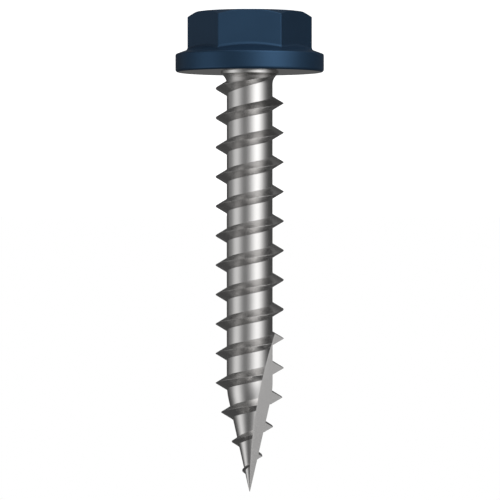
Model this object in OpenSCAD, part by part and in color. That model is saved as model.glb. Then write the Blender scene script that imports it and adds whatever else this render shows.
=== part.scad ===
// Hexagon flange head timber screw with a coarse thread and a notched point.
// It stands on the flat top of its head, with the point up, and Z runs along its axis.
// The origin is the middle of the head's flat top. Lengths are in millimetres.

/* [Head] */
// Width of the hexagon across its flats
hex_af = 10; // [8:0.1:11]
// Height of the whole head, from its flat top to the face that bears on the work
head_h = 5.55; // [5:0.05:8]
// Width of the bevel at a corner of the hexagon, measured from the corner inwards
top_bevel_w = 0.77; // [0.3:0.01:1.2]
// Slope of the bevel around the flat top, in degrees
top_bevel_deg = 30; // [20:1:40]
// Diameter of the flange
flange_d = 13.75; // [13.5:0.05:18]
// Height of the straight rim of the flange
rim_h = 1.66; // [1:0.02:2.4]
// Slope of the conical side of the flange, in degrees
flange_slope_deg = 20; // [10:1:25]
// Radius of the round between the rim and the bearing face
rim_round_r = 0.25; // [0.1:0.05:0.6]
// Radius of the fillet where the hexagon runs into the flange
hex_fillet_r = 0.35; // [0.15:0.05:0.5]

/* [Shank] */
// Length from the bearing face to the tip of the point
shank_l = 38.8; // [25:0.1:60]
// Diameter of the core between the turns of the thread
core_d = 4.25; // [3.6:0.05:4.8]
// Radius of the fillet where the shank leaves the bearing face
neck_fillet_r = 1.1; // [0.4:0.05:1.3]
// Length of the tapered point
point_l = 9.25; // [7:0.05:14]
// Radius of the round where the shank turns into the point
shoulder_r = 8; // [2:0.5:12]
// Diameter of the blunt end of the tip
tip_d = 0.06; // [0.04:0.01:0.4]

/* [Thread] */
// Diameter over the crest of the thread
major_d = 6.3; // [5.4:0.05:6.6]
// Advance of the thread in one turn
lead = 2.725; // [2.4:0.005:3.4]
// Angle between the two flanks of the thread
thread_angle_deg = 60; // [50:1:66]
// Width of the land along the crest
crest_land_w = 0.05; // [0.03:0.01:0.2]
// Distance from the bearing face to the first full crest
first_crest_l = 1.16; // [1:0.01:4]
// Direction of the first full crest around the axis, from the hexagon's corner on +X, in degrees
first_crest_deg = -45; // [-180:5:180]
// Turn over which the crest rises out of the core at the neck, in degrees
run_in_deg = 250; // [90:10:300]
// Length over which the crest tapers down to the tip
crest_taper_l = 8.75; // [6:0.05:12]
// Distance from the tip to the last full crest
last_crest_l = 1.85; // [1.2:0.05:5]
// Turn over which the crest sinks into the point, in degrees
run_out_deg = 90; // [60:10:180]

/* [Notch] */
// Radius of the cutter that mills the notch in the point
cutter_r = 45.3; // [20:0.1:90]
// Distance from the tip at which the cutter's wall meets the axis
notch_tip_l = 0.3; // [0.1:0.05:2]

/* [Hidden] */
$fn = 96;

corner_r = hex_af / 2 / cos(30);
flat_top_r = corner_r - top_bevel_w;
flange_r = flange_d / 2;
core_r = core_d / 2;
tip_r = tip_d / 2;
major_r = major_d / 2;
tip_z = head_h + shank_l;
slope = tan(flange_slope_deg);

// The steps that the computed surfaces take
turn_steps = 48;
fillet_turn_steps = 72;
fillet_arc_steps = 4;
shoulder_steps = 6;

// The parts of a swept surface that lie inside its neighbour, so that the two fuse
sink = 0.1;
buried_share = 0.7;
arc_sink_share = 0.03;

// The height of the flange's conical side at a distance from the axis
function cone_z(r) = head_h - rim_h - (flange_r - r) * slope;

// The distance from the axis to the hexagon's side, in the direction of an angle
function hex_r(turn) = hex_af / 2 / cos(((turn + 360) % 60) - 30);

// A point of the fillet between hexagon and flange, at an angle around the axis and one along the arc
function fillet_point(turn, arc) = let(
    wall_r = hex_r(turn),
    out = hex_fillet_r * (1 - arc_sink_share - cos(arc)),
    rise = hex_fillet_r * (1 / cos(flange_slope_deg) - slope - arc_sink_share - sin(arc)),
    r = wall_r + out
) [r * cos(turn), r * sin(turn), cone_z(wall_r) - rise];

// A ring of the fillet's section, closed inside the hexagon and the flange
function fillet_section(turn) = let(
    inner_r = hex_r(turn) - sink,
    last_arc = 90 - flange_slope_deg,
    top = fillet_point(turn, 0),
    foot = fillet_point(turn, last_arc),
    foot_r = norm([foot[0], foot[1]])
) concat(
    [[inner_r * cos(turn), inner_r * sin(turn), top[2] - sink]],
    [for (step = [0:fillet_arc_steps]) fillet_point(turn, last_arc * step / fillet_arc_steps)],
    [[foot_r * cos(turn), foot_r * sin(turn), foot[2] + sink],
     [inner_r * cos(turn), inner_r * sin(turn), foot[2] + sink]]
);

// The faces that join rings of points into a tube, open or closed into a loop
function tube_faces(rings, size, closed) = concat(
    [for (ring = [0:rings - (closed ? 1 : 2)], side = [0:size - 1]) let(
        next_ring = (ring + 1) % rings,
        next_side = (side + 1) % size,
        a = ring * size + side,
        b = ring * size + next_side,
        c = next_ring * size + next_side,
        d = next_ring * size + side
    ) each [[a, b, c], [a, c, d]]],
    closed ? [] : [
        [for (side = [size - 1:-1:0]) side],
        [for (side = [0:size - 1]) (rings - 1) * size + side]
    ]
);

// The turns of the thread, counted from the first full crest
last_turn = (shank_l - last_crest_l - first_crest_l) / lead;
first_deg = -run_in_deg;
last_deg = last_turn * 360 + run_out_deg;
thread_rings = ceil((last_deg - first_deg) / 360 * turn_steps) + 1;

function thread_z(turn) = head_h + first_crest_l + lead * turn / 360;
function core_r_at(z) = tapered_r(tip_z - z, core_r, point_l);
function major_r_at(z) = tapered_r(tip_z - z, major_r, crest_taper_l);

// How much of the thread's height stands at an angle: it rises at the neck and sinks at the point
function thread_share(turn) = min(
    1,
    (turn - first_deg) / run_in_deg,
    (last_deg - turn) / run_out_deg
);

// A ring of the thread's section: a land at the crest and two flanks that end inside the core
function thread_section(turn) = let(
    z = thread_z(turn),
    way = first_crest_deg + turn,
    full_r = major_r_at(z),
    low_r = core_r_at(z) - sink * full_r / major_r,
    crest_r = low_r + (full_r - low_r) * thread_share(turn),
    inner_r = low_r * buried_share,
    half_land = crest_land_w / 2 * full_r / major_r,
    half_foot = half_land + (crest_r - inner_r) * tan(thread_angle_deg / 2)
) [
    for (corner = [[crest_r, -half_land], [crest_r, half_land], [inner_r, half_foot], [inner_r, -half_foot]])
        [corner[0] * cos(way), corner[0] * sin(way), z + corner[1]]
];

// The radius of a pointed rod at a distance from its tip, with its shoulder rounded
function tapered_r(tip_l, full_r, taper_l) = let(
    half_angle = atan(full_r / taper_l),
    round_l = shoulder_r * tan(half_angle / 2),
    round_start = taper_l - round_l * cos(half_angle),
    round_end = taper_l + round_l
) tip_l < round_start ? tip_l * full_r / taper_l
    : tip_l > round_end ? full_r
    : full_r - shoulder_r + sqrt(shoulder_r ^ 2 - (round_end - tip_l) ^ 2);

module hexagon() {
    intersection() {
        cylinder(h = cone_z(corner_r) + sink, r = corner_r, $fn = 6);
        bevel_cone();
    }
}

// The cone that bevels the hexagon's corners around the flat top
module bevel_cone() {
    reach = head_h / tan(top_bevel_deg);
    cylinder(h = head_h, r1 = flat_top_r, r2 = flat_top_r + reach);
}

module flange() {
    rotate_extrude()
        difference() {
            polygon([
                [0, cone_z(0)],
                [flange_r, head_h - rim_h],
                [flange_r, head_h],
                [0, head_h]
            ]);
            rim_corner();
        }
}

// What the round takes off the corner between the rim and the bearing face
module rim_corner() {
    translate([flange_r - rim_round_r, head_h - rim_round_r])
        difference() {
            square(rim_round_r * 2);
            circle(rim_round_r);
        }
}

module hex_fillet() {
    rings = [for (step = [0:fillet_turn_steps - 1]) fillet_section(360 * step / fillet_turn_steps)];
    polyhedron(
        [for (ring = rings) each ring],
        tube_faces(fillet_turn_steps, len(rings[0]), true)
    );
}

module core() {
    half_angle = atan(core_r / point_l);
    round_l = shoulder_r * tan(half_angle / 2);
    shoulder_l = point_l + round_l;
    round_h = round_l * (1 + cos(half_angle));
    rotate_extrude()
        polygon(concat(
            [[0, head_h - sink], [core_r, head_h - sink]],
            [for (step = [0:shoulder_steps]) let(z = tip_z - shoulder_l + round_h * step / shoulder_steps)
                [core_r_at(z), z]],
            [[tip_r, tip_z], [0, tip_z]]
        ));
}

module neck_fillet() {
    rotate_extrude()
        difference() {
            translate([core_r - sink, head_h - sink])
                square(neck_fillet_r + sink);
            translate([core_r + neck_fillet_r, head_h + neck_fillet_r])
                circle(neck_fillet_r);
        }
}

module thread_ridge() {
    rings = [
        for (step = [0:thread_rings - 1])
            thread_section(first_deg + (last_deg - first_deg) * step / (thread_rings - 1))
    ];
    polyhedron([for (ring = rings) each ring], tube_faces(thread_rings, len(rings[0]), false));
}

// The milling cutter, which leaves a flat face through the axis and a curved wall
module notch_cutter() {
    translate([-cutter_r, 0, tip_z - notch_tip_l])
        rotate([90, 0, 0])
            cylinder(h = major_d, r = cutter_r);
}

module head() {
    hexagon();
    hex_fillet();
    flange();
}

module threaded_shank() {
    difference() {
        union() {
            core();
            neck_fillet();
            thread_ridge();
        }
        notch_cutter();
    }
}

module screw() {
    union() {
        color("midnightblue") head();
        color("silver") threaded_shank();
    }
}

screw();
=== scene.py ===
import math

import bmesh
import bpy
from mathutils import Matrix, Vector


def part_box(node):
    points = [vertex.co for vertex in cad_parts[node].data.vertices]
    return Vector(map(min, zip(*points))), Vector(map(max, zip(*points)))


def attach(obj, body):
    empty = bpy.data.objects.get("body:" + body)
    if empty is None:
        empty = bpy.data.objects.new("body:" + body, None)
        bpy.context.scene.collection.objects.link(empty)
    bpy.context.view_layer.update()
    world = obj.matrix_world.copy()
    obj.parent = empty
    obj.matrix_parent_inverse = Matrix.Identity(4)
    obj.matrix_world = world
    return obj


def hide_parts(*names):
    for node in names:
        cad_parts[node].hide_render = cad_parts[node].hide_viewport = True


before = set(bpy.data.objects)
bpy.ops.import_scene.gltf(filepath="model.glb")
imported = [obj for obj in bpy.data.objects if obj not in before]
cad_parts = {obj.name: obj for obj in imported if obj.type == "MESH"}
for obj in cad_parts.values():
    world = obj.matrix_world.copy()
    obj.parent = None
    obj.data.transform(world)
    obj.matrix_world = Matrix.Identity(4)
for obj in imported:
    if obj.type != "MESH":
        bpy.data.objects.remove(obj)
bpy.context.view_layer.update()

bl_info = {
    "name": "Timber Screw",
    "version": (1, 0, 0),
    "blender": (4, 5, 0),
    "location": "View3D > Sidebar > Timber Screw",
    "description": "Models a timber screw with a hexagon flange head, and a studio for it",
    "category": "Add Mesh",
}

NODE = "screw"
MM = 0.001
LOW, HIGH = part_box(NODE)


def length(name, description, default_mm, **settings):
    """A length property in metres, with its default in millimetres."""
    return bpy.props.FloatProperty(
        name=name, description=description, default=default_mm * MM,
        unit="LENGTH", precision=6, min=0, **settings,
    )


def angle(name, description, default_deg):
    """An angle property, with its default in degrees."""
    return bpy.props.FloatProperty(
        name=name, description=description, default=math.radians(default_deg), unit="ROTATION",
    )


def colour(name, description, default):
    """A colour property, in linear light."""
    return bpy.props.FloatVectorProperty(
        name=name, description=description, default=default, subtype="COLOR", min=0, max=1,
    )


def number(name, description, default):
    """A plain number property."""
    return bpy.props.FloatProperty(
        name=name, description=description, default=default, precision=4,
    )


class HeadSizes(bpy.types.PropertyGroup):
    """Sizes of the forged head."""

    across_flats: length("Across flats", "Width of the hexagon across its flats", 10)
    height: length("Height", "From the flat top to the bearing face", 5.55)
    bevel_w: length("Bevel width", "Width of the bevel at a corner of the hexagon", 0.77)
    bevel_slope: angle("Bevel slope", "Slope of the bevel around the flat top", 30)
    flange_d: length("Flange", "Diameter of the flange", (HIGH.x - LOW.x) / MM)
    rim_h: length("Rim height", "Height of the flange's straight rim", 1.66)
    flange_slope: angle("Flange slope", "Slope of the flange's conical side", 20)
    rim_round: length("Rim round", "Round between the rim and the bearing face", 0.25)
    shoulder_round: length("Flange edge", "Round between the cone and the rim", 0.12)
    hex_fillet: length("Hexagon fillet", "Fillet where the hexagon runs into the flange", 0.35)
    corner_round: length("Corner round", "Round along the hexagon's upright corners", 0.1)
    edge_round: length("Edge round", "Width of the round along the edges of the bevel", 0.06)


class ShankSizes(bpy.types.PropertyGroup):
    """Sizes of the shank and its point."""

    core_d: length("Core", "Diameter of the core between the turns of the thread", 4.25)
    neck_fillet: length("Neck fillet", "Fillet where the shank leaves the bearing face", 1.1)
    blank_d: length("Blank", "Diameter of the unrolled land that is left under the head", 5.38)
    land_round: length("Land round", "Round along the edge of that land", 0.03)
    point_l: length("Point", "Length of the tapered point", 9.25)
    shoulder_round: length("Shoulder round", "Round where the shank turns into the point", 8)
    tip_d: length("Tip", "Diameter of the blunt end of the tip", 0.06)


class ThreadSizes(bpy.types.PropertyGroup):
    """Sizes of the thread."""

    major_d: length("Crest diameter", "Diameter over the crest of the thread", 6.3)
    lead: length("Lead", "Advance of the thread in one turn", 2.725)
    flank_angle: angle("Flank angle", "Angle between the two flanks", 60)
    crest_land: length("Crest land", "Width of the round along the crest", 0.016)
    root_fillet: length("Root fillet", "Fillet where a flank runs into the core", 0.03)
    first_crest: length("First crest", "From the bearing face to the first full crest", 1.16)
    first_crest_turn: angle("First crest direction", "Direction of the first full crest", -45)
    run_in: angle("Run in", "Turn over which the crest rises at the neck", 250)
    crest_taper: length("Crest taper", "Length over which the crest tapers to the tip", 8.75)
    last_crest: length("Last crest", "From the tip to the last full crest", 1.85)
    run_out: angle("Run out", "Turn over which the crest sinks into the point", 90)


class NotchSizes(bpy.types.PropertyGroup):
    """Sizes of the notch that is milled in the point."""

    cutter_r: length("Cutter radius", "Radius of the milling cutter", 45.3)
    tip_gap: length("Tip distance", "From the tip to where the wall meets the axis", 0.3)


class Finishes(bpy.types.PropertyGroup):
    """Colours and gloss of the two finishes."""

    steel: colour("Steel", "Colour of the rolled steel", (0.685, 0.676, 0.668))
    rolled_roughness: number("Rolled roughness", "Roughness of the rolled shank", 0.22)
    flank_roughness: number("Flank roughness", "Roughness of the thread's flanks", 0.25)
    forged_roughness: number("Forged roughness", "Roughness of the bearing face and the neck", 0.1)
    paint: colour("Paint", "Colour of the paint on the head", (0.0316, 0.0694, 0.1275))
    paint_metallic: number("Paint metallic", "Share of metal flake in the paint", 0.676)
    paint_roughness: number("Paint roughness", "Roughness of the paint", 0.3)


class StudioSettings(bpy.types.PropertyGroup):
    """The camera's place and the studio's lights."""

    photo_side: number("Photo side", "Side of the square photograph, in pixels", 500)
    axis_column: number("Axis column", "Column of the photograph at the screw's axis", 249.67)
    bearing_row: number("Bearing row", "Row of the photograph at the bearing face", 72.3)
    pixel: length("Pixel", "Size of one pixel of the photograph at the screw", 0.092558)
    distance_pixels: number("Distance", "From the camera to the screw's axis, in pixels", 3600)
    sensor: number("Sensor", "Width of the camera's sensor, in millimetres", 36)
    floor_side: length("Floor", "Side of the square floor", 4000)
    ambient: number("Ambient", "Strength of the grey studio around the screw", 0.07)


class ScrewSettings(bpy.types.PropertyGroup):
    """All that a user can change."""

    head: bpy.props.PointerProperty(type=HeadSizes)
    shank: bpy.props.PointerProperty(type=ShankSizes)
    thread: bpy.props.PointerProperty(type=ThreadSizes)
    notch: bpy.props.PointerProperty(type=NotchSizes)
    finish: bpy.props.PointerProperty(type=Finishes)
    studio: bpy.props.PointerProperty(type=StudioSettings)


# How finely round things are divided
SECTORS = 6
RING_STEPS = 480
TURN_STEPS = 128
CUTTER_STEPS = 2400
ARC_STEPS = 8
FINE_STEPS = 4

# How closely the corners of a ring gather at the hexagon's corners, where 1 spreads them evenly
CORNER_SPREAD = 0.2

# The most of the bevel's width that the round along one of its edges takes
BEVEL_ROUND_SHARE = 0.4

# What the thread's section leaves inside the core, so that the two join
SINK = 0.1 * MM
BURIED_SHARE = 0.7
FILLET_SINK = 0.004 * MM

# The least that a crest stands above the foot of its flanks, and how many root fillets high
# a ridge is before its fillets have their full size
LEAST_RIDGE = SINK / 4
FILLET_ROOM = 4

# The height above the bearing face over which the forged land turns into the rolled shank
NECK_FADE = 0.4 * MM

# How steeply a flank faces up or down, squared, where its own finish starts and where it is full
FLANK_STEEPNESS = (0.2, 0.5)

# How much room is left between the lowest painted face and the bare bearing face
EDGE_GAP = 0.0005 * MM

# How fine the patterns of the finishes are, in cells to the metre
MARK_CELLS = (600, 600, 24000)
TONING_CELLS = 900
PEEL_CELLS = 2600
CLOUD_CELLS = 350

# How high the marks of rolling and the paint's orange peel stand
MARK_HEIGHT = 0.0001 * MM
PEEL_HEIGHT = 0.001 * MM

# How much of the roughness each pattern changes. It is little, because a denoised render turns
# patchy where the roughness of a surface passes 0.27 back and forth.
MARK_GLOSS = 0.04
TONING_GLOSS = 0.03
PEEL_GLOSS = 0.04
CLOUD_GLOSS = 0.06

# The two tones that each finish goes between, as shares of its colour
STEEL_TONES = (0.94, 1)
PAINT_TONES = (0.9, 1.08)

# The floor's shade, its roughness and the light of its own that keeps it plain white
FLOOR_SHADE = (0.9, 0.9, 0.9, 1)
FLOOR_ROUGHNESS = 0.9
FLOOR_GLOW = 1.05

# The camera sees nothing that is this many times nearer than the screw
NEAR_LIMIT = 20

# White, as a node takes it
WHITE = (1, 1, 1, 1)

# The Mix node's sockets for colours
MIX_SHARE, MIX_FIRST, MIX_SECOND = 0, 6, 7
MIX_RESULT = 2

# The soft lights: azimuth and elevation in degrees, strength, and how tightly each is gathered
SOFT_LIGHTS = (
    (36.7, -26.7, 2.7, 6.3),
    (-68.9, 14.6, 1.02, 7.45),
    (-88, -86.3, 0.81, 7.5),
    (53, 35.4, 0.73, 16.3),
    (-121, -9.4, 0.19, 33),
    (180, 6, 0.035, 25),
)

# How much the piece is enlarged while its faces are weighed by area, which is tiny in square
# metres. A power of two changes no place when it is undone.
ENLARGED = 1024

# Faces that meet at less than this are shaded as one surface
SMOOTH_ANGLE = math.radians(32)


def arc(centre, radius, start, end, steps):
    """Points on a circle, from one angle to another, in degrees."""
    angles = [math.radians(start + (end - start) * step / steps) for step in range(steps + 1)]
    return [(centre[0] + radius * math.cos(a), centre[1] + radius * math.sin(a)) for a in angles]


def soft_corner(before, corner, after, steps):
    """Points on a curve that cuts a corner, from the point before it to the point after it."""
    points = []
    for step in range(steps + 1):
        t = step / steps
        weights = ((1 - t) ** 2, 2 * t * (1 - t), t * t)
        points.append(tuple(
            sum(w * p[i] for w, p in zip(weights, (before, corner, after))) for i in (0, 1)
        ))
    return points


def along(start, end, distance):
    """The point at a distance from start on the way to end."""
    share = distance / math.dist(start, end)
    return tuple(a + (b - a) * share for a, b in zip(start, end))


def tapered_radius(tip_l, full_r, taper_l, round_r):
    """Radius of a pointed rod at a distance from its tip, with its shoulder rounded."""
    half_angle = math.atan(full_r / taper_l)
    round_l = round_r * math.tan(half_angle / 2)
    start = taper_l - round_l * math.cos(half_angle)
    end = taper_l + round_l
    if tip_l < start:
        return tip_l * full_r / taper_l
    if tip_l > end:
        return full_r
    return full_r - round_r + math.sqrt(round_r ** 2 - (end - tip_l) ** 2)


class Blank:
    """The screw's turned and forged shape, before its thread and its notch."""

    def __init__(self, head, shank):
        self.head, self.shank = head, shank
        self.flat_r = head.across_flats / 2
        self.flange_r = head.flange_d / 2
        self.core_r = shank.core_d / 2
        self.top_r = self.flat_r / math.cos(math.pi / SECTORS) - head.bevel_w
        self.slope = math.tan(head.flange_slope)
        self.tip_z = HIGH.z

    def cone_z(self, r):
        """Height of the flange's conical side at a distance from the axis."""
        return self.head.height - self.head.rim_h - (self.flange_r - r) * self.slope

    def wall_r(self, turn):
        """Distance from the axis to the hexagon's rounded wall, in the direction of a turn."""
        sector = 2 * math.pi / SECTORS
        from_corner = abs((turn + sector / 2) % sector - sector / 2)
        round_r = self.head.corner_round
        inner_r = self.flat_r - round_r
        centre_r = inner_r / math.cos(sector / 2)
        tangent = sector / 2 - math.atan(inner_r * math.tan(sector / 2) / self.flat_r)
        if from_corner > tangent:
            return self.flat_r / math.cos(sector / 2 - from_corner)
        side = centre_r * math.sin(from_corner)
        return centre_r * math.cos(from_corner) + math.sqrt(round_r ** 2 - side ** 2)

    def hexagon_points(self, turn):
        """From the flat top over the bevel and along the wall to the fillet on the cone."""
        head, wall_r = self.head, self.wall_r(turn)
        edge = head.edge_round
        slope = math.tan(head.bevel_slope)
        top = (min(self.top_r, wall_r - edge), 0)
        side = (wall_r, (wall_r - top[0]) * slope)
        soft = min(edge, BEVEL_ROUND_SHARE * math.dist(top, side))
        points = soft_corner((top[0] - soft, 0), top, along(top, side, soft), FINE_STEPS)
        points += soft_corner(along(side, top, soft), side, (wall_r, side[1] + soft), FINE_STEPS)
        radius = head.hex_fillet
        rise = 1 / math.cos(head.flange_slope) - self.slope
        centre = (wall_r + radius, self.cone_z(wall_r) - radius * rise)
        end = 90 + math.degrees(head.flange_slope)
        return points + arc(centre, radius, 180, end, ARC_STEPS)

    def flange_points(self):
        """From the flange's cone over its rim to the bearing face."""
        head, flange_r = self.head, self.flange_r
        corner = (flange_r, self.cone_z(flange_r))
        inner = (0, self.cone_z(0))
        soft = head.shoulder_round
        points = soft_corner(
            along(corner, inner, soft), corner, (flange_r, corner[1] + soft), FINE_STEPS
        )
        radius = head.rim_round
        return points + arc((flange_r - radius, head.height - radius), radius, 0, 90, ARC_STEPS)

    def shank_points(self):
        """From the unrolled land over the neck's fillet and along the core to the tip."""
        head, shank = self.head, self.shank
        radius, land_r, soft = shank.neck_fillet, shank.blank_d / 2, shank.land_round
        start = -math.degrees(math.acos((land_r - self.core_r - radius) / radius))
        centre = (self.core_r + radius, head.height + radius)
        neck = arc(centre, radius, start, -180, 2 * ARC_STEPS)
        edge = neck.pop(0)
        neck = soft_corner(
            (land_r, edge[1] - soft), edge, along(edge, neck[0], soft), FINE_STEPS
        ) + neck
        neck.insert(0, (land_r, head.height))
        half_angle = math.atan(self.core_r / shank.point_l)
        round_l = shank.shoulder_round * math.tan(half_angle / 2)
        shoulder = []
        for step in range(ARC_STEPS + 1):
            back = round_l * (1 + math.cos(half_angle)) * step / ARC_STEPS
            tip_l = shank.point_l + round_l - back
            shoulder.append((self.radius_at(self.tip_z - tip_l), self.tip_z - tip_l))
        return neck + shoulder + [(shank.tip_d / 2, self.tip_z)]

    def radius_at(self, z):
        """Radius of the core at a height."""
        return tapered_radius(
            self.tip_z - z, self.core_r, self.shank.point_l, self.shank.shoulder_round
        )

    def outline(self, head_turn):
        """The whole outline in the half plane at a turn: distances from the axis with heights."""
        return self.hexagon_points(head_turn) + self.flange_points() + self.shank_points()

    def head_levels(self):
        """How many of the outline's points belong to the head."""
        return len(self.hexagon_points(0) + self.flange_points())


class Thread:
    """The ridge that winds round the core."""

    def __init__(self, blank, sizes):
        self.blank, self.sizes = blank, sizes
        self.start_z = blank.head.height + sizes.first_crest
        last_z = blank.tip_z - sizes.last_crest
        self.first_turn = -sizes.run_in
        self.last_turn = (last_z - self.start_z) / sizes.lead * 2 * math.pi + sizes.run_out
        self.steps = math.ceil((self.last_turn - self.first_turn) / (2 * math.pi) * TURN_STEPS)

    def height_at(self, turn):
        """Height of the crest at a turn, counted from the first full crest."""
        return self.start_z + self.sizes.lead * turn / (2 * math.pi)

    def share(self, turn):
        """How much of the thread's height stands at a turn."""
        return min(
            1,
            (turn - self.first_turn) / self.sizes.run_in,
            (self.last_turn - turn) / self.sizes.run_out,
        )

    def section(self, turn):
        """The ridge's section at a turn, symmetrical about the crest, as a closed ring."""
        blank, sizes = self.blank, self.sizes
        z = self.height_at(turn)
        core_r = blank.radius_at(z)
        crest_full = tapered_radius(
            blank.tip_z - z, sizes.major_d / 2, sizes.crest_taper, blank.shank.shoulder_round
        )
        taper = crest_full / (sizes.major_d / 2)
        low_r = core_r - SINK * taper
        crest_r = low_r + (crest_full - low_r) * max(0, self.share(turn))
        spread = math.tan(sizes.flank_angle / 2)
        land = sizes.crest_land / 2 * taper
        foot_r = min(core_r - FILLET_SINK, crest_r - LEAST_RIDGE)
        foot = land + (crest_r - foot_r) * spread
        fillet = sizes.root_fillet
        fillet *= min(1, (crest_r - foot_r) / (FILLET_ROOM * sizes.root_fillet))
        tangent = fillet * math.tan(math.pi / 4 - sizes.flank_angle / 4)
        end = 180 + math.degrees(math.pi / 2 - sizes.flank_angle / 2)
        half = soft_corner(
            (crest_r, 0), (crest_r, land), (crest_r - land, land + land * spread), FINE_STEPS
        )
        half += reversed(arc((foot_r + fillet, foot + tangent), fillet, 180, end, FINE_STEPS))
        half.append((low_r * BURIED_SHARE, foot + tangent))
        mirrored = [(r, -v) for r, v in reversed(half[1:])]
        return [(r, z + v) for r, v in mirrored + half]


def start_afresh():
    """Leaves edit mode and deselects everything."""
    if bpy.context.object and bpy.context.object.mode != "OBJECT":
        bpy.ops.object.mode_set(mode="OBJECT")
    bpy.ops.object.select_all(action="DESELECT")


def named(name):
    """Names the active object and puts its place in its mesh."""
    piece = bpy.context.object
    piece.name = piece.data.name = name
    bpy.ops.object.transform_apply(location=True, rotation=True, scale=True)
    return piece


def select_edges(mesh, wanted):
    """Selects the edges of an edit mesh that pass a test, and nothing else."""
    for part in (*mesh.verts, *mesh.edges, *mesh.faces):
        part.select = False
    for edge in mesh.edges:
        if wanted(edge):
            edge.select_set(True)


def close_ends(piece):
    """Fills the open rings at both ends and turns every face outwards."""
    bpy.ops.object.mode_set(mode="EDIT")
    mesh = bmesh.from_edit_mesh(piece.data)
    select_edges(mesh, lambda edge: edge.is_boundary)
    bmesh.update_edit_mesh(piece.data)
    bpy.ops.mesh.edge_face_add()
    bpy.ops.mesh.select_all(action="SELECT")
    bpy.ops.mesh.normals_make_consistent(inside=False)
    bpy.ops.object.mode_set(mode="OBJECT")


def ring_turn(step, spread):
    """Direction of a ring's corner. Below a spread of 1 they gather at the hexagon's corners."""
    per_sector = RING_STEPS // SECTORS
    sector, place = divmod(step + per_sector // 2, per_sector)
    u = 2 * place / per_sector - 1
    gathered = spread * u + (1 - spread) * u ** 3
    return (sector + gathered / 2) * 2 * math.pi / SECTORS


def place_ring(vertices, turns, outlines, level):
    """Puts a ring of vertices on one level of the outlines."""
    for vertex, turn, outline in zip(vertices, turns, outlines):
        r, z = outline[level]
        vertex.co = (r * math.cos(turn), r * math.sin(turn), z)


def forge_blank(blank):
    """Grows the blank from a ring on the head's flat top, one ring after another, to the tip."""
    start_afresh()
    bpy.ops.mesh.primitive_circle_add(vertices=RING_STEPS, radius=blank.flat_r)
    piece = named("timber_screw")
    head_turns = [ring_turn(step, CORNER_SPREAD) for step in range(RING_STEPS)]
    shank_turns = [ring_turn(step, 1) for step in range(RING_STEPS)]
    outlines = [blank.outline(turn) for turn in head_turns]
    place_ring(piece.data.vertices, head_turns, outlines, 0)
    bpy.ops.object.mode_set(mode="EDIT")
    bpy.ops.mesh.select_mode(type="EDGE")
    bpy.ops.mesh.select_all(action="SELECT")
    for level in range(1, len(outlines[0])):
        bpy.ops.mesh.extrude_edges_move()
        mesh = bmesh.from_edit_mesh(piece.data)
        ring = [vertex for vertex in mesh.verts if vertex.select]
        turns = head_turns if level < blank.head_levels() else shank_turns
        place_ring(ring, turns, outlines, level)
        bmesh.update_edit_mesh(piece.data)
    bpy.ops.object.mode_set(mode="OBJECT")
    close_ends(piece)
    return piece


def roll_thread(thread):
    """Winds a ring round the axis, then gives each turn its section, which rises and tapers."""
    start_afresh()
    count = len(thread.section(0))
    bpy.ops.mesh.primitive_circle_add(
        vertices=count, radius=thread.sizes.lead / 4, rotation=(math.pi / 2, 0, 0),
        location=(thread.sizes.major_d / 2, 0, thread.height_at(thread.first_turn)),
    )
    piece = named("thread_ridge")
    winding = piece.modifiers.new("Winding", "SCREW")
    winding.axis = "Z"
    winding.angle = thread.last_turn - thread.first_turn
    winding.screw_offset = thread.height_at(thread.last_turn) - thread.height_at(thread.first_turn)
    winding.steps = winding.render_steps = thread.steps
    bpy.ops.object.modifier_apply(modifier=winding.name)
    for index, vertex in enumerate(piece.data.vertices):
        step, corner = divmod(index, count)
        turn = thread.first_turn + (thread.last_turn - thread.first_turn) * step / thread.steps
        r, z = thread.section(turn)[corner]
        way = turn + thread.sizes.first_crest_turn
        vertex.co = (r * math.cos(way), r * math.sin(way), z)
    close_ends(piece)
    return piece


def make_cutter(blank, notch, reach):
    """The milling cutter's round edge, which leaves a flat face through the axis."""
    start_afresh()
    bpy.ops.mesh.primitive_cylinder_add(
        vertices=CUTTER_STEPS, radius=notch.cutter_r, depth=reach,
        location=(-notch.cutter_r, -reach / 2, blank.tip_z - notch.tip_gap),
        rotation=(math.pi / 2, 0, 0),
    )
    return named("notch_cutter")


def combine(piece, tool, operation):
    """Joins a tool to a piece, or cuts it away, and removes the tool."""
    start_afresh()
    bpy.context.view_layer.objects.active = piece
    piece.select_set(True)
    change = piece.modifiers.new("Change", "BOOLEAN")
    change.operation = operation
    change.solver = "EXACT"
    change.object = tool
    bpy.ops.object.modifier_apply(modifier=change.name)
    bpy.data.objects.remove(tool)


class Value:
    """A number or a vector in a material, which takes part in sums as a plain number does."""

    def __init__(self, maker, socket):
        self.maker, self.socket = maker, socket

    def sum(self, operation, *values):
        """Works out one step of a sum with a Math node."""
        settings = {"operation": operation}
        return self.maker.node("ShaderNodeMath", settings, dict(enumerate(values)), 0)

    def __add__(self, other):
        return self.sum("ADD", self, other)

    def __radd__(self, other):
        return self.sum("ADD", other, self)

    def __sub__(self, other):
        return self.sum("SUBTRACT", self, other)

    def __rsub__(self, other):
        return self.sum("SUBTRACT", other, self)

    def __mul__(self, other):
        return self.sum("MULTIPLY", self, other)

    def __rmul__(self, other):
        return self.sum("MULTIPLY", other, self)

    def __rpow__(self, other):
        return self.sum("POWER", other, self)


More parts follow.
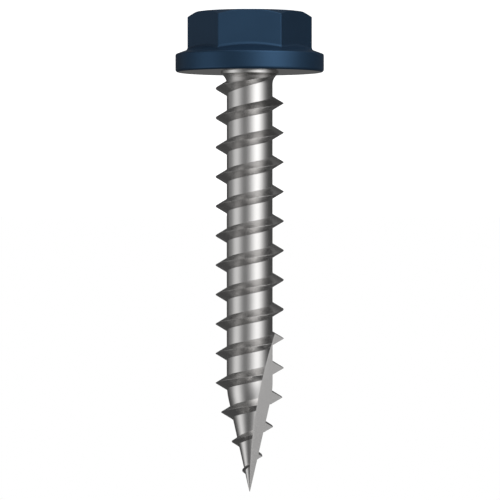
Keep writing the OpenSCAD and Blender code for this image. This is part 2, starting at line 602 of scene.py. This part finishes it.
class Maker:
    """Builds the nodes of one material or world."""

    def __init__(self, owner):
        owner.use_nodes = True
        self.tree = owner.node_tree
        self.tree.nodes.clear()

    def node(self, kind, settings, values, output):
        """Adds a node, its settings first, then its sockets' values or links."""
        node = self.tree.nodes.new(kind)
        for name, setting in settings.items():
            setattr(node, name, setting)
        for key, value in values.items():
            if isinstance(value, Value):
                self.tree.links.new(value.socket, node.inputs[key])
            else:
                node.inputs[key].default_value = value
        return None if output is None else Value(self, node.outputs[output])

    def place(self):
        """The place on the piece, in metres."""
        return self.node("ShaderNodeTexCoord", {}, {}, "Object")

    def facing(self, way, direction):
        """How closely a way follows a direction, from -1 to 1."""
        values = {0: way, 1: direction}
        return self.node("ShaderNodeVectorMath", {"operation": "DOT_PRODUCT"}, values, "Value")

    def normal(self):
        """The way that the surface faces."""
        return self.node("ShaderNodeTexCoord", {}, {}, "Normal")

    def upward(self, vector):
        """How far a place lies above the floor, or how steeply a way points up."""
        return self.node("ShaderNodeSeparateXYZ", {}, {"Vector": vector}, "Z")

    def between(self, value, low, high):
        """A share that rises from 0 to 1 while a value goes from low to high."""
        values = {"Value": value, "From Min": low, "From Max": high}
        return self.node("ShaderNodeMapRange", {}, values, 0)

    def noise(self, place, scale, detail):
        """Cloudy noise from 0 to 1."""
        values = {"Vector": place, "Scale": scale, "Detail": detail}
        return self.node("ShaderNodeTexNoise", {}, values, 0)

    def stretched(self, place, scale):
        """The place with each axis scaled."""
        return self.node("ShaderNodeMapping", {}, {"Vector": place, "Scale": scale}, 0)

    def mixed(self, share, first, second):
        """A colour between two colours."""
        values = {MIX_SHARE: share, MIX_FIRST: (*first, 1), MIX_SECOND: (*second, 1)}
        return self.node("ShaderNodeMix", {"data_type": "RGBA"}, values, MIX_RESULT)

    def bumped(self, height, distance):
        """A surface normal that follows a height."""
        return self.node("ShaderNodeBump", {}, {"Height": height, "Distance": distance}, 0)

    def surface(self, values):
        """Ends a material with its surface shader."""
        shader = self.node("ShaderNodeBsdfPrincipled", {}, values, 0)
        self.node("ShaderNodeOutputMaterial", {}, {"Surface": shader}, None)


def tones(shade, shares):
    """A colour made lighter or darker by each share."""
    return [tuple(channel * share for channel in shade) for share in shares]


def swing(pattern, reach):
    """A change up and down, half its reach each way, that follows a pattern from 0 to 1."""
    return (pattern - 0.5) * reach


def blend(share, low, high):
    """A number that goes from low to high while a share goes from 0 to 1."""
    return share * (high - low) + low


def steel_material(finish, blank):
    """Bright rolled steel with faint toning: smoother under the head, rougher on the flanks."""
    material = bpy.data.materials.new("bright_steel")
    maker = Maker(material)
    place = maker.place()
    neck_z = blank.head.height
    rolled = maker.between(maker.upward(place), neck_z, neck_z + NECK_FADE)
    steepness = maker.upward(maker.normal())
    flank = maker.between(steepness * steepness, *FLANK_STEEPNESS)
    marks = maker.noise(maker.stretched(place, MARK_CELLS), scale=1, detail=2)
    clouds = maker.noise(place, TONING_CELLS, detail=3)
    shank_roughness = blend(flank, finish.rolled_roughness, finish.flank_roughness)
    roughness = blend(rolled, finish.forged_roughness, shank_roughness)
    maker.surface({
        "Base Color": maker.mixed(clouds, *tones(finish.steel, STEEL_TONES)),
        "Metallic": 1,
        "Roughness": swing(marks, MARK_GLOSS) + swing(clouds, TONING_GLOSS) + roughness,
        "Normal": maker.bumped(marks, MARK_HEIGHT),
    })
    return material


def paint_material(finish):
    """Satin navy paint with a faint orange peel."""
    material = bpy.data.materials.new("head_paint")
    maker = Maker(material)
    place = maker.place()
    peel = maker.noise(place, PEEL_CELLS, detail=2)
    clouds = maker.noise(place, CLOUD_CELLS, detail=3)
    roughness = swing(clouds, CLOUD_GLOSS) + swing(peel, PEEL_GLOSS) + finish.paint_roughness
    maker.surface({
        "Base Color": maker.mixed(clouds, *tones(finish.paint, PAINT_TONES)),
        "Metallic": finish.paint_metallic,
        "Specular IOR Level": 0,
        "Roughness": roughness,
        "Normal": maker.bumped(peel, PEEL_HEIGHT),
    })
    return material


def paint_head(piece, blank, finish):
    """Puts both finishes on the piece: paint on the head, as far as its bearing face."""
    for material in (steel_material(finish, blank), paint_material(finish)):
        piece.data.materials.append(material)
    for face in piece.data.polygons:
        face.material_index = int(face.center.z < blank.head.height - EDGE_GAP)


def settle_normals(piece):
    """Lets wide faces keep their own slope, so that only the narrow rounds beside them bend."""
    start_afresh()
    bpy.context.view_layer.objects.active = piece
    piece.select_set(True)
    piece.scale = [ENLARGED] * 3
    bpy.ops.object.transform_apply(location=False, rotation=False, scale=True)
    settled = piece.modifiers.new("Wide faces", "WEIGHTED_NORMAL")
    settled.keep_sharp = True
    bpy.ops.object.modifier_apply(modifier=settled.name)
    piece.scale = [1 / ENLARGED] * 3
    bpy.ops.object.transform_apply(location=False, rotation=False, scale=True)


class TIMBERSCREW_OT_model(bpy.types.Operator):
    """Model the screw: blank, thread, notch and finish"""

    bl_idname = "timber_screw.model"
    bl_label = "Model Screw"

    def execute(self, context):
        settings = context.scene.timber_screw
        blank = Blank(settings.head, settings.shank)
        piece = forge_blank(blank)
        combine(piece, roll_thread(Thread(blank, settings.thread)), "UNION")
        combine(piece, make_cutter(blank, settings.notch, settings.thread.major_d), "DIFFERENCE")
        paint_head(piece, blank, settings.finish)
        bpy.ops.object.shade_smooth_by_angle(angle=SMOOTH_ANGLE)
        settle_normals(piece)
        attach(piece, "root")
        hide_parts(NODE)
        return {"FINISHED"}


def direction(azimuth, elevation):
    """The way to a light: azimuth 0 is the camera's side, and 90 is the picture's right."""
    a, e = math.radians(azimuth), math.radians(elevation)
    return (-math.sin(a) * math.cos(e), -math.cos(a) * math.cos(e), math.sin(e))


def build_world(studio):
    """Round soft lights in a grey studio, which the camera itself sees as plain white."""
    world = bpy.data.worlds.new("studio")
    bpy.context.scene.world = world
    maker = Maker(world)
    way = maker.node("ShaderNodeTexCoord", {}, {}, "Generated")
    light = studio.ambient
    for azimuth, elevation, strength, tightness in SOFT_LIGHTS:
        facing = maker.facing(way, direction(azimuth, elevation))
        light = math.e ** ((facing - 1) * tightness) * strength + light
    glow = maker.node("ShaderNodeBackground", {}, {"Color": WHITE, "Strength": light}, 0)
    white = maker.node("ShaderNodeBackground", {}, {"Color": WHITE}, 0)
    seen = maker.node("ShaderNodeLightPath", {}, {}, "Is Camera Ray")
    both = maker.node("ShaderNodeMixShader", {}, {0: seen, 1: glow, 2: white}, 0)
    maker.node("ShaderNodeOutputWorld", {}, {"Surface": both}, None)


class TIMBERSCREW_OT_stage(bpy.types.Operator):
    """Add the floor, the soft lights and the camera"""

    bl_idname = "timber_screw.stage"
    bl_label = "Set Up Studio"

    def execute(self, context):
        settings = context.scene.timber_screw
        studio = settings.studio
        start_afresh()
        bpy.ops.mesh.primitive_plane_add(size=studio.floor_side)
        floor = bpy.context.object
        floor.name = "studio_floor"
        material = bpy.data.materials.new("white_floor")
        Maker(material).surface({
            "Base Color": FLOOR_SHADE,
            "Roughness": FLOOR_ROUGHNESS,
            "Emission Color": WHITE,
            "Emission Strength": FLOOR_GLOW,
        })
        floor.data.materials.append(material)
        floor.visible_glossy = False
        floor.visible_diffuse = False
        floor.visible_shadow = False
        build_world(studio)
        add_camera(studio, settings.head)
        context.scene.view_settings.view_transform = "Standard"
        return {"FINISHED"}


def add_camera(studio, head):
    """A level camera, rolled half a turn, because the picture shows the head at the top."""
    pixel = studio.pixel
    middle = studio.photo_side / 2
    distance = studio.distance_pixels * pixel
    height = head.height + (middle - studio.bearing_row) * pixel
    bpy.ops.object.camera_add(
        location=((studio.axis_column - middle) * pixel, -distance, height),
        rotation=(math.pi / 2, math.pi, 0),
    )
    camera = bpy.context.object
    camera.name = "studio_camera"
    camera.data.sensor_width = studio.sensor
    camera.data.lens = studio.sensor * studio.distance_pixels / studio.photo_side
    camera.data.clip_start = distance / NEAR_LIMIT
    bpy.context.scene.camera = camera


class TIMBERSCREW_PT_panel(bpy.types.Panel):
    """The screw's steps in the sidebar"""

    bl_idname = "TIMBERSCREW_PT_panel"
    bl_label = "Timber Screw"
    bl_space_type = "VIEW_3D"
    bl_region_type = "UI"
    bl_category = "Timber Screw"

    def draw(self, context):
        for step in STEPS:
            self.layout.operator(step.bl_idname)


STEPS = (TIMBERSCREW_OT_model, TIMBERSCREW_OT_stage)
GROUPS = (HeadSizes, ShankSizes, ThreadSizes, NotchSizes, Finishes, StudioSettings, ScrewSettings)
CLASSES = (*GROUPS, *STEPS, TIMBERSCREW_PT_panel)


def register():
    """Makes the settings, the steps and the panel known to Blender."""
    for each in CLASSES:
        bpy.utils.register_class(each)
    bpy.types.Scene.timber_screw = bpy.props.PointerProperty(type=ScrewSettings)


def unregister():
    """Takes them away again."""
    del bpy.types.Scene.timber_screw
    for each in reversed(CLASSES):
        bpy.utils.unregister_class(each)


def main():
    """Builds the screw and its studio."""
    register()
    bpy.ops.timber_screw.model()
    bpy.ops.timber_screw.stage()


if __name__ == "__main__":
    main()
